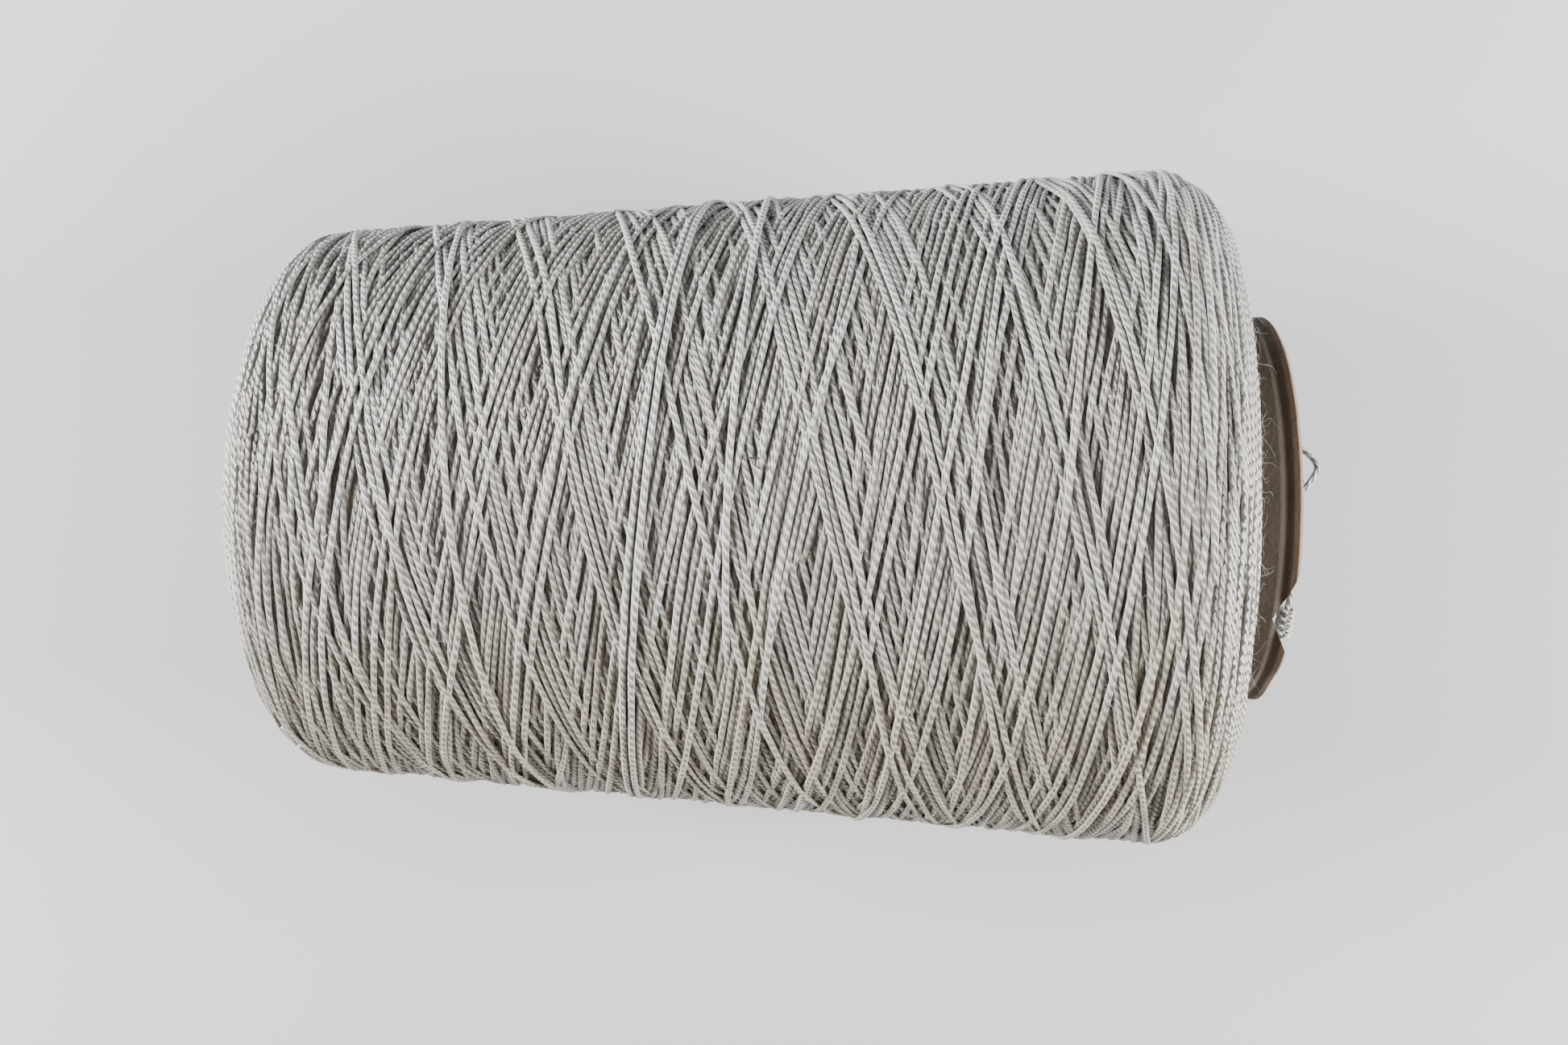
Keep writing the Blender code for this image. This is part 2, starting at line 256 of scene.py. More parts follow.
def tubes(name, centres, normals, starts, halfWidth, halfHeight, sides, tones):
    # many tubes in one mesh: at each centre an oval ring, across the line and up its normal.
    # starts holds the first centre of each tube. UVs are (metres along, turns round).
    count = len(centres)
    first = np.zeros(count, dtype=bool)
    first[starts] = True
    last = np.roll(first, -1)
    ahead = np.where(last[:, None], centres, np.roll(centres, -1, axis=0))
    behind = np.where(first[:, None], centres, np.roll(centres, 1, axis=0))
    tangent = ahead - behind
    tangent /= np.linalg.norm(tangent, axis=1)[:, None] + 1e-12
    across = np.cross(tangent, normals)
    across /= np.linalg.norm(across, axis=1)[:, None] + 1e-12
    lift = np.cross(across, tangent)
    runs = np.cumsum(np.where(first, 0.0, np.linalg.norm(centres - behind, axis=1)))
    runs = runs - np.repeat(runs[starts], np.diff(np.append(starts, count)))
    angle = np.arange(sides) / sides * 2.0 * math.pi
    halfWidth = np.broadcast_to(halfWidth, count)[:, None, None]
    halfHeight = np.broadcast_to(halfHeight, count)[:, None, None]
    ring = (
        centres[:, None, :]
        + across[:, None, :] * np.cos(angle)[None, :, None] * halfWidth
        + lift[:, None, :] * np.sin(angle)[None, :, None] * halfHeight
    )
    rows = np.flatnonzero(~last)[:, None]
    side = np.arange(sides)[None, :]
    after = (side + 1) % sides
    corners = ((rows, side), (rows + 1, side), (rows + 1, after), (rows, after))
    walls = np.stack([a * sides + b for a, b in corners], axis=-1).reshape(-1, 4)
    low, high, here, there = runs[rows], runs[rows + 1], side / sides, (side + 1) / sides
    places = ((low, here), (high, here), (high, there), (low, there))
    wallUvs = np.stack(
        [np.stack(np.broadcast_arrays(a, b), -1) for a, b in places], axis=-2
    ).reshape(-1, 4, 2)
    openings = np.flatnonzero(first)[:, None] * sides
    closings = np.flatnonzero(last)[:, None] * sides
    fan = np.array([(0, k, k + 1, min(k + 2, sides - 1)) for k in range(1, sides - 1, 2)])
    caps = np.vstack(
        ((openings[:, :, None] + fan[None]).reshape(-1, 4),
         (closings[:, :, None] + fan[None, :, ::-1]).reshape(-1, 4))
    )
    if sides % 2:
        # the last face of an odd cap would have three corners, and it is left out
        fine = np.array([len(set(c)) == 4 for c in caps[: len(fan)]])
        caps = caps.reshape(-1, len(fan), 4)[:, fine].reshape(-1, 4)
    capUvs = np.zeros((len(caps), 4, 2))
    quads = np.vstack((walls, caps))
    uvs = np.concatenate((wallUvs, capUvs))
    return meshFrom(name, ring.reshape(-1, 3), quads, uvs, np.repeat(tones, sides, axis=0))


# The winding: strands laid in order, each one taut over those that lie below it

heightMap = np.full(
    (winding["bearingCells"], int(profile["end"] / winding["cell"]) + 2), -0.0025
)


def acrossStrand(bearing, run):
    # the sideways direction of a strand in bearing and run for one metre, and its mean step
    radius = np.interp(run, profile["run"], profile["radius"])
    stepRound = np.gradient(bearing) * radius
    stepRun = np.gradient(run)
    size = np.hypot(stepRound, stepRun)
    return -stepRun / size / radius, stepRound / size, size.mean()


def cellsAt(bearing, run):
    # the nearest cell of the height map
    row = np.rint(bearing / (2.0 * math.pi) * heightMap.shape[0]).astype(int)
    column = np.rint(run / winding["cell"]).astype(int)
    return np.mod(row, heightMap.shape[0]), np.clip(column, 0, heightMap.shape[1] - 1)


strandWidth = np.linspace(-0.85, 0.85, 5)[:, None] * yarn["halfWidth"]
strandCrown = yarn["halfHeight"] * np.sqrt(1.0 - (strandWidth / yarn["halfWidth"]) ** 2)


def evened(values, count):
    # each value averaged with its neighbours along the strand, under a raised cosine
    kernel = np.hanning(count + 2)[1:-1]
    padded = np.pad(values, count // 2, mode="edge")
    return np.convolve(padded, kernel / kernel.sum(), mode="valid")


def slide(bearing, run, reach, choices, evenOver):
    # a strand slips sideways to where it lies lowest, as neighbours of one slope do when they pack
    acrossBearing, acrossRun, step = acrossStrand(bearing, run)
    shifts = np.linspace(-reach, reach, choices)
    lies = []
    for shift in shifts:
        row, column = cellsAt(
            bearing + (strandWidth + shift) * acrossBearing, run + (strandWidth + shift) * acrossRun
        )
        under = (heightMap[row, column] + strandCrown).max(axis=0)
        lies.append(evened(under, evenOver) + 0.03 * abs(shift))
    shift = evened(shifts[np.argmin(lies, axis=0)], evenOver)
    return bearing + shift * acrossBearing, run + shift * acrossRun


def layStrand(bearing, run, slack=0.0):
    # the height of each point of a strand: what lies below it across its width, pulled straight
    # over the hollows, and then the map is raised by the strand's own round top
    acrossBearing, acrossRun, step = acrossStrand(bearing, run)
    row, column = cellsAt(bearing + strandWidth * acrossBearing, run + strandWidth * acrossRun)
    height = (heightMap[row, column] + strandCrown).max(axis=0) - yarn["squash"]
    for span in (1, 2, 4, 8, 4, 2, 1):
        chord = (height[2 * span:] + height[: -2 * span]) / 2.0
        chord = chord - (span * step) ** 2 / (2.0 * winding["sagRadius"])
        height[span:-span] = np.maximum(height[span:-span], chord)
    height = evened(height, 9) + slack
    np.maximum.at(heightMap, (row, column), height + strandCrown)
    return height


settled = np.zeros(heightMap.shape)


def blurred(values, size):
    # a Gaussian blur of that size in metres, closed round the axis and mirrored at the bores
    cellRound = 2.0 * math.pi * 0.0495 / values.shape[0]
    mirrored = np.concatenate((values, values[:, ::-1]), axis=1)
    waveRound = np.fft.fftfreq(values.shape[0], cellRound)[:, None]
    waveRun = np.fft.rfftfreq(mirrored.shape[1], winding["cell"])[None, :]
    fade = np.exp(-2.0 * (math.pi * size) ** 2 * (waveRound**2 + waveRun**2))
    return np.fft.irfft2(np.fft.rfft2(mirrored) * fade, s=mirrored.shape)[:, : values.shape[1]]


def settle(level=None):
    # yarn packs down under the yarn that comes after it: where the blurred top is over the level,
    # it sinks to it. With no level given, the low places rise to 0 as well.
    mean = blurred(heightMap, winding["settleSize"])
    sunk = mean if level is None else np.maximum(mean - level, 0.0)
    heightMap[:] -= sunk
    settled[:] += sunk


def settledAt(bearing, run):
    # the sinking read between the four nearest cells
    row = bearing / (2.0 * math.pi) * settled.shape[0]
    column = np.clip(run / winding["cell"], 0, settled.shape[1] - 1.001)
    row0, column0 = np.floor(row).astype(int), np.floor(column).astype(int)
    partRow, partColumn = row - row0, column - column0
    row0 = np.mod(row0, settled.shape[0])
    row1 = np.mod(row0 + 1, settled.shape[0])
    near = settled[row0, column0] * (1 - partRow) + settled[row1, column0] * partRow
    far = settled[row0, column0 + 1] * (1 - partRow) + settled[row1, column0 + 1] * partRow
    return near * (1 - partColumn) + far * partColumn


middleCells = slice(
    int((profile["noseCrown"] + 0.01) / winding["cell"]),
    int((profile["baseCrown"] - 0.01) / winding["cell"]),
)


def edgeStrand(dice, crown, outward):
    # a run almost round the axis near one crown, whose two ends sink into the yarn
    middle = crown + outward * dice.uniform(*winding["edgeSpread"])
    length = dice.uniform(*winding["edgeLength"])
    way = np.arange(-length / 2.0, length / 2.0, winding["sampleStep"])
    radius = np.interp(middle, profile["run"], profile["radius"])
    run = middle + way * dice.normal(0.0, 0.012) + 0.0003 * np.sin(way * 60.0 + dice.uniform(0.0, 6.28))
    bearing = dice.uniform(0.0, 2.0 * math.pi) + way / radius
    bearing, run = slide(bearing, run, winding["slideReach"], *winding["edgeSlide"])
    height = layStrand(bearing, run)
    toEnd = length / 2.0 - abs(way)
    dive = winding["arcDive"] * smoothStep(1.0 - toEnd / winding["edgeSink"]) ** 1.5
    return bearing, run, height - dive + settledAt(bearing, run), dice.normal(0.0, 1.0)


def windPasses():
    # each pass runs from one shoulder to the other. Its speed along the cone grows as the tanh of
    # the way from the turn, so near both ends it lies almost round the cone. Ten passes on, the
    # strand comes back beside itself, and the layers close like that.
    dice = np.random.default_rng(winding["seed"])
    strands = []
    starts = []
    bearing = 0.0
    for number in range(winding["passes"] + 1):
        starts.append(bearing + dice.normal(0.0, winding["layJitter"]) * 2.0 * math.pi)
        turns = winding["turnsBack"] if number % 2 else winding["turnsOut"]
        drift = winding["layShift"] * (1.0 + 0.35 * math.sin(number * 0.05)) / 10.0
        bearing += (turns + drift) * 2.0 * math.pi
    for number in range(winding["passes"]):
        share = number / (winding["passes"] - 1)
        turns = (starts[number + 1] - starts[number]) / 2.0 / math.pi
        length = turns * 2.0 * math.pi * winding["meanRadius"]
        count = int(length / math.cos(winding["meanSlope"]) / winding["sampleStep"])
        way = np.linspace(0.0, length, count)
        zone = winding["turnZone"] * dice.uniform(0.8, 1.2)
        start = winding["turnStart"]
        speed = np.tanh((way + start) / zone) * np.tanh((length - way + start) / zone)
        part = np.cumsum(speed)
        part = (part - part[0]) / (part[-1] - part[0])
        noseReach = np.interp(share, (0, 1), winding["noseReach"]) * dice.uniform(0.3, 1.2)
        baseReach = np.interp(share, (0, 1), winding["baseReach"]) * dice.uniform(0.3, 1.2)
        low = profile["noseCrown"] - noseReach
        high = profile["baseCrown"] + baseReach
        run = low + (high - low) * (part if number % 2 == 0 else 1.0 - part)
        phase = dice.uniform(0.0, 6.28, 3)
        wave = sum(
            np.sin(way * 2.0 * math.pi / size + p)
            for size, p in zip(winding["wanderSizes"], phase)
        )
        run = run + winding["wander"] * wave * 0.5
        bearing = starts[number] + way / length * turns * 2.0 * math.pi
        slack = max(0.0, share - 0.9) * winding["slack"] * dice.uniform(0.0, 1.0) ** 2
        bearing, run = slide(bearing, run, winding["slideReach"], *winding["farSlide"])
        bearing, run = slide(bearing, run, winding["slideReach"] / 4.0, *winding["nearSlide"])
        height = layStrand(bearing, run, slack)
        strands.append((bearing, run, height + settledAt(bearing, run), dice.normal(0.0, 1.0)))
        if number % winding["edgeEvery"] == 0 and share < 0.97:
            strands.append(edgeStrand(dice, profile["noseCrown"], -1.0))
            strands.append(edgeStrand(dice, profile["baseCrown"], 1.0))
        if number % winding["settleEvery"] == 0:
            settle(heightMap[:, middleCells].mean())
    return strands


def windProud():
    # single strands that crossed the finished layers slack, as straight runs sunk at both ends
    strands = []
    for bearing0, run0, bearing1, run1, lift, tone in winding["proud"]:
        count = int((bearing1 - bearing0) * 0.05 / winding["sampleStep"])
        t = np.linspace(0.0, 1.0, count)
        bearing = bearing0 + (bearing1 - bearing0) * t
        run = run0 + (run1 - run0) * t + 0.0006 * np.sin(t * 7.0 + tone)
        height = layStrand(bearing, run)
        rise = lift * np.sin(math.pi * t) ** 0.5
        dive = winding["proudDive"] * smoothStep(1.0 - np.minimum(t, 1.0 - t) / 0.10)
        strands.append((bearing, run, height + rise - dive + settledAt(bearing, run), tone))
    return strands


def windArcs():
    # the turns of deeper layers, which show on the end faces: short runs almost round the axis,
    # from the bore out, whose two ends sink into the yarn
    dice = np.random.default_rng(winding["seed"] + 1)
    strands = []
    for end in (0, 1):
        depth = np.sort(dice.uniform(0.0, 1.0, winding["arcsEachEnd"]))
        for share in depth:
            if end == 0:
                middle = 0.0006 + share * (profile["noseCrown"] - 0.002)
            else:
                face = profile["end"] - profile["baseCrown"] - 0.002
                middle = profile["end"] - 0.0006 - share * face
            radius = np.interp(middle, profile["run"], profile["radius"])
            length = min(dice.uniform(*winding["arcLength"]), 4.5 * radius)
            way = np.arange(-length / 2.0, length / 2.0, winding["sampleStep"])
            tilt = dice.normal(0.0, 0.03)
            run = middle + way * tilt + 0.0004 * np.sin(way * 150.0 + dice.uniform(0.0, 6.28))
            run = np.clip(run, 0.0005, profile["end"] - 0.0005)
            bearing = dice.uniform(0.0, 2.0 * math.pi) + way / radius
            bearing, run = slide(bearing, run, winding["slideReach"] / 2.0, *winding["arcSlide"])
            height = layStrand(bearing, run)
            dive = winding["arcDive"] * smoothStep((abs(way) / (length / 2.0) - 0.55) / 0.45) ** 1.5
            height = height - dive + settledAt(bearing, run)
            strands.append((bearing, run, height, dice.normal(0.0, 1.0)))
            if len(strands) % 20 == 0:
                settle(winding["endLevel"])
    return strands


def showing(strand):
    # the stretches of a strand that lie near the top somewhere across its width, as lists of samples
    bearing, run, height, tone = strand
    height = height - settledAt(bearing, run)
    cellBearing = np.rint(bearing / (2.0 * math.pi) * heightMap.shape[0]).astype(int)
    cellRun = np.clip(np.rint(run / winding["cell"]).astype(int), 1, heightMap.shape[1] - 2)
    over = np.full(len(run), 1.0)
    for near in (-1, 0, 1):
        for beside in (-1, 0, 1):
            top = heightMap[np.mod(cellBearing + near, heightMap.shape[0]), cellRun + beside]
            over = np.minimum(over, top - height)
    shown = (over < winding["buried"]).astype(float)
    shown = np.convolve(np.pad(shown, 4), np.ones(9), mode="valid") > 0.5
    edges = np.flatnonzero(np.diff(np.concatenate(([0], shown.astype(int), [0]))))
    every = winding["ringEvery"]
    return [
        np.append(np.arange(a, b - every, every), b - 1)
        for a, b in zip(edges[::2], edges[1::2])
        if b - a > 2 * every
    ]


def gather(strands):
    # the rings of many strands as one run of centres, normals, first rings and tones
    picks = [(s, pick) for s in strands for pick in showing(s)]
    bearing = np.concatenate([s[0][pick] for s, pick in picks])
    run = np.concatenate([s[1][pick] for s, pick in picks])
    height = np.concatenate([s[2][pick] for s, pick in picks]) - settledAt(bearing, run)
    fromNose = (run - profile["noseCrown"]) / winding["crownBlend"]
    fromBase = (profile["baseCrown"] - run) / winding["crownBlend"]
    onSide = smoothStep(fromNose) * smoothStep(fromBase)
    kept = [
        end + (side - end) * onSide for side, end in zip(winding["flatten"], winding["flattenEnds"])
    ]
    deep = np.clip(0.62 + height / winding["levelSpan"], 0.0, 1.0)
    height = height * np.where(height < 0.0, *kept) - winding["sunk"]
    sizes = np.array([len(pick) for s, pick in picks])
    starts = np.concatenate(([0], np.cumsum(sizes)[:-1]))
    tones = np.stack((np.repeat([s[3] for s, pick in picks], sizes), deep), 1)
    return onProfile(bearing, run, height), normalAt(bearing, run), starts, tones


arcs = windArcs()
passes = windPasses()
settle()
passes += windProud()
print("winding:", len(passes), "passes and", len(arcs), "end turns; spread of the top",
      round(heightMap[:, middleCells].std() * 1000, 2), "mm")

packagePieces = []
strandRows = []
shares = [int(len(passes) * share) for share in winding["shares"]]
groups = [arcs] + [passes[a:b] for a, b in zip(shares, shares[1:])]
for index, group in enumerate(groups):
    centres, normals, starts, tones = gather(group)
    piece = tubes(
        "yarn_strands_%d" % index, centres, normals, starts,
        yarn["drawnWidth"], yarn["halfHeight"], yarn["sides"], tones,
    )
    packagePieces.append(piece)
    strandRows.append((centres, normals))
    print("strands:", piece.name, len(piece.data.polygons) * 2, "triangles")


packed = {
    "depth": 0.0011,
    "rows": 110,
    "columns": 120,
}


def underBody():
    # the closed form below the strands: the outline sunk by its depth, turned round the axis
    rows, columns = packed["rows"], packed["columns"]
    run = np.linspace(0.0, profile["end"], rows)
    bearing = np.linspace(0.0, 2.0 * math.pi, columns + 1)[:-1]
    grid = onProfile(bearing[None, :], run[:, None], np.full((rows, columns), -packed["depth"]))
    row = np.arange(rows)[:, None]
    column = np.arange(columns)[None, :]
    after, below = (column + 1) % columns, (row + 1) % rows
    corners = ((row, column), (below, column), (below, after), (row, after))
    quads = np.stack([a * columns + b for a, b in corners], axis=-1).reshape(-1, 4)
    return meshFrom("yarn_under", grid.reshape(-1, 3), quads[:, ::-1])


under = underBody()
packagePieces.append(under)
print("under body:", len(under.data.polygons) * 2, "triangles")

# The loose end, on the same route as its solid

tail = {
    "rim": 0.1584,  # how far along the axis the core's rim is
    "diameter": 0.00085,
    "sides": 12,
    "step": 0.0004,
    "tone": (0.0, 0.9),
    "knotTurns": 4,
    "knotBearings": (33.5, 45.5),
    "knotRadius": 0.0273,
    "knotBack": 0.0003,
    "coilRadius": 0.00098,
    "toLoop": (  # back from the rim, out from the axis, bearing in degrees
        (0.00795, 0.03136, 140.0),
        (0.00540, 0.03156, 139.0),
        (0.00190, 0.03182, 137.5),
        (-0.00035, 0.03172, 136.5),
        (-0.00100, 0.03030, 135.5),
        (-0.00060, 0.02855, 134.0),
        (0.00050, 0.02795, 132.5),
        (0.00180, 0.02798, 130.0),
        (0.00260, 0.02795, 120.0),
        (0.00280, 0.02795, 105.0),
        (0.00250, 0.02795, 90.0),
        (0.00220, 0.02765, 76.0),
        (0.00180, 0.02725, 66.0),
        (0.00140, 0.02718, 58.0),
        (0.00090, 0.02722, 51.0),
        (0.00040, 0.02725, 46.0),
        (0.00030, 0.02730, 40.0),
        (0.00030, 0.02730, 33.5),
        (0.00030, 0.02765, 27.0),
        (0.00080, 0.02795, 20.0),
        (0.00150, 0.02800, 11.0),
        (0.00130, 0.02796, 3.0),
        (0.00010, 0.02800, -3.0),
        (-0.00160, 0.02790, -7.5),
        (-0.00275, 0.02780, -12.0),
        (-0.00170, 0.02775, -16.0),
        (0.00030, 0.02770, -19.0),
        (0.00200, 0.02720, -20.0),
        (0.00230, 0.02650, -16.5),
        (0.00070, 0.02620, -12.5),
        (-0.00100, 0.02630, -8.0),
        (-0.00010, 0.02660, -2.0),
        (0.00130, 0.02690, 5.0),
        (0.00230, 0.02700, 13.0),
        (0.00250, 0.02725, 21.0),
        (0.00230, 0.02745, 27.0),
        (0.00175, 0.02735, 31.0),
    ),
    "end": ((0.00020, 0.02600, 48.0), (0.00080, 0.02520, 50.5)),
}


def tailRoute():
    # the route's points in the row frame: the standing part, the turns of the knot, and the end

    def place(rows):
        return toRow(np.radians(rows[:, 2]), tail["rim"] - rows[:, 0], rows[:, 1])

    share = np.linspace(0.0, 1.0, tail["knotTurns"] * 10 + 1)
    turn = 2.0 * math.pi * tail["knotTurns"] * share
    bearing = tail["knotBearings"][0] + share * (tail["knotBearings"][1] - tail["knotBearings"][0])
    coil = np.stack(
        (
            tail["knotBack"] + tail["coilRadius"] * np.cos(turn),
            tail["knotRadius"] + tail["coilRadius"] * np.sin(turn),
            bearing,
        ),
        1,
    )
    return np.vstack((place(np.array(tail["toLoop"])), place(coil), place(np.array(tail["end"]))))


def smoothLine(points, step):
    # a Catmull-Rom curve through the points, read at even steps
    points = np.vstack((2 * points[0] - points[1], points, 2 * points[-1] - points[-2]))
    share = np.linspace(0.0, 1.0, 12)[None, :-1, None]
    a, b, c, d = (points[k: len(points) - 3 + k, None, :] for k in range(4))
    line = b + ((c - a) * share + (2 * a - 5 * b + 4 * c - d) * share**2
                + (3 * b - a - 3 * c + d) * share**3) / 2.0
    line = np.vstack((line.reshape(-1, 3), points[-2]))
    run = np.concatenate(([0.0], np.cumsum(np.linalg.norm(np.diff(line, axis=0), axis=1))))
    even = np.linspace(0.0, run[-1], int(run[-1] / step))
    return np.stack([np.interp(even, run, line[:, k]) for k in range(3)], 1), run[-1]


tailLine, tailLength = smoothLine(tailRoute(), tail["step"])
outOfAxis = tailLine - toRow(np.zeros(1), np.array([tail["rim"]]), np.zeros(1))
tailPiece = tubes(
    "yarn_tail", tailLine, outOfAxis, np.array([0]), tail["diameter"] / 2.0,
    tail["diameter"] / 2.0, tail["sides"], np.tile(tail["tone"], (len(tailLine), 1)),
)
print("tail:", round(tailLength * 1000, 1), "mm long,", len(tailPiece.data.polygons) * 2, "triangles")


# Fuzz: fine fibres that stand out of the strands, thickest on the two shoulders

fuzz = {
    "seed": 5,
    "count": 5900,
    "length": (0.0008, 0.0036),
    "radius": 0.000013,
    "rings": 6,
    "rise": (0.10, 0.80),  # how steeply a fibre leaves the yarn, as a share of its length
    "curl": 0.00040,
    "waves": (2.0, 7.0),  # how far the curl turns over the fibre's length
    "spread": (0.7, 1.4),
    "thinning": 0.65,
    "onNose": 2.5,  # how much likelier a fibre is at each end
    "onBase": 6.0,
    "onTail": 700,
}


def growFuzz():
    # each fibre leaves a point of a strand on a bent line: its rise slows as it goes, and two slow
    # waves curl it. Its thickness falls to a third at the tip.
    dice = np.random.default_rng(fuzz["seed"])
    centres = np.vstack([rows[0] for rows in strandRows])
    normals = np.vstack([rows[1] for rows in strandRows])
    lean = np.array((math.cos(cone["lean"]), 0.0, math.sin(cone["lean"])))
    along = (centres - np.array(cone["axisAt"])) @ lean
    weight = np.where(along < cone["noseShoulder"][0], fuzz["onNose"], 1.0)
    weight = np.where(along > cone["traverse"] - cone["baseShoulder"][0], fuzz["onBase"], weight)
    pick = dice.choice(len(centres), fuzz["count"], p=weight / weight.sum())
    tailPick = dice.integers(len(tailLine) // 4, len(tailLine), fuzz["onTail"])
    tailNormal = dice.normal(0.0, 1.0, (fuzz["onTail"], 3))
    tailNormal /= np.linalg.norm(tailNormal, axis=1)[:, None]
    root = np.vstack((centres[pick], tailLine[tailPick]))
    normal = np.vstack((normals[pick], tailNormal))
    side = np.cross(normal, dice.normal(0.0, 1.0, root.shape))
    side /= np.linalg.norm(side, axis=1)[:, None]
    third = np.cross(normal, side)
    length = dice.uniform(*fuzz["length"], len(root))
    rise = dice.uniform(*fuzz["rise"], len(root))
    t = np.linspace(0.0, 1.0, fuzz["rings"])[None, :]
    phase = dice.uniform(0.0, 6.28, (2, len(root), 1))
    waves = dice.uniform(*fuzz["waves"], (2, len(root), 1))
    size = length[:, None]
    out = size * rise[:, None] * (1.3 * t - 0.5 * t**2)
    sway = size * t * 0.8 + fuzz["curl"] * (np.sin(waves[0] * t + phase[0]) - np.sin(phase[0]))
    swing = 1.2 * fuzz["curl"] * (np.cos(waves[1] * t + phase[1]) - np.cos(phase[1]))
    line = (
        root[:, None, :] + normal[:, None, :] * (out + yarn["halfHeight"] * 0.7)[..., None]
        + side[:, None, :] * sway[..., None] + third[:, None, :] * swing[..., None]
    )
    line[..., 2] = np.maximum(line[..., 2], 0.0002)
    spread = dice.uniform(*fuzz["spread"], (len(root), 1))
    radius = (fuzz["radius"] * (1.0 - fuzz["thinning"] * t) * spread).ravel()
    count = fuzz["rings"]
    return tubes(
        "yarn_fuzz", line.reshape(-1, 3), np.repeat(third, count, axis=0),
        np.arange(len(root)) * count, radius, radius, 3, np.ones((len(root) * count, 2)),
    )


fuzzPiece = growFuzz()
print("fuzz:", fuzz["count"] + fuzz["onTail"], "fibres,", len(fuzzPiece.data.polygons) * 2, "triangles")

# Flecks: bits of husk and straw caught in the yarn

flecks = {
    "rows": (  # bearing in degrees, along the axis, length, tone from husk to straw
        (-6.5, 0.0804, 0.0016, 0.0),
        (-5.0, 0.0812, 0.0009, 0.1),
        (-46.0, 0.0150, 0.0012, 1.0),
        (7.0, 0.0172, 0.0010, 0.8),
        (-15.0, 0.0480, 0.0008, 0.9),
        (61.0, 0.1000, 0.0011, 1.0),
        (150.0, 0.0650, 0.0014, 0.1),
        (-120.0, 0.1120, 0.0012, 0.7),
    ),
    "radius": 0.00013,
    "rings": 9,
    "bend": 270.0,
}


def layFlecks():
    # each one is a short tube on the top of the strands, bent by the square of the way from its
    # middle, whose radius follows a half circle and so is thin at both ends
    rows = np.array(flecks["rows"])
    t = np.linspace(-0.5, 0.5, flecks["rings"])[None, :]
    way = rows[:, 2:3] * t
    turn = rows[:, :1] * 1.7
    run = np.interp(rows[:, 1], profile["along"][200:-200], profile["run"][200:-200])[:, None]
    run = run + way * np.sin(turn) + flecks["bend"] * way**2
    bearing = np.radians(rows[:, :1]) + way * np.cos(turn) / 0.05
    row, column = cellsAt(bearing, run)
    top = heightMap[row, column].max(axis=1)[:, None] * winding["flatten"][1]
    height = np.broadcast_to(np.maximum(top, 0.0) + yarn["halfHeight"] * 0.6, way.shape)
    radius = np.broadcast_to(flecks["radius"] * np.sqrt(1.02 - (2.0 * t) ** 2), way.shape).ravel()
    normals = normalAt(bearing, run).reshape(-1, 3)
    tones = np.repeat(np.stack((rows[:, 3], np.ones(len(rows))), 1), flecks["rings"], axis=0)
    return tubes(
        "yarn_flecks", onProfile(bearing, run, height).reshape(-1, 3), normals,
        np.arange(len(rows)) * flecks["rings"], radius * 1.4, radius, 6, tones,
    )


fleckPiece = layFlecks()
print("flecks:", len(flecks["rows"]))


# Materials


def newMaterial(name):
    made = bpy.data.materials.new(name)
    made.use_nodes = True
    tree = made.node_tree
    return made, tree, tree.nodes["Principled BSDF"]


def setInputs(node, **values):
    for name, value in values.items():
        node.inputs[name.replace("_", " ")].default_value = value


def noiseNode(tree, vector, **values):
    made = tree.nodes.new("ShaderNodeTexNoise")
    setInputs(made, **values)
    tree.links.new(vector, made.inputs["Vector"])
    return made.outputs["Fac"]


def mathNode(tree, operation, first, second=None, third=None):
    made = tree.nodes.new("ShaderNodeMath")
    made.operation = operation
    for socket, value in zip(made.inputs, (first, second, third)):
        if value is None:
            continue
        if isinstance(value, (int, float)):
            socket.default_value = value
        else:
            tree.links.new(value, socket)
    return made.outputs[0]


def mixColour(tree, factor, first, second, blend="MIX"):
    made = tree.nodes.new("ShaderNodeMix")
    made.data_type = "RGBA"
    made.blend_type = blend
    for socket, value in zip((made.inputs[0], made.inputs[6], made.inputs[7]), (factor, first, second)):
        if isinstance(value, (int, float)):
            socket.default_value = value
        elif isinstance(value, tuple):
            socket.default_value = (*value, 1.0)
        else:
            tree.links.new(value, socket)
    return made.outputs[2]


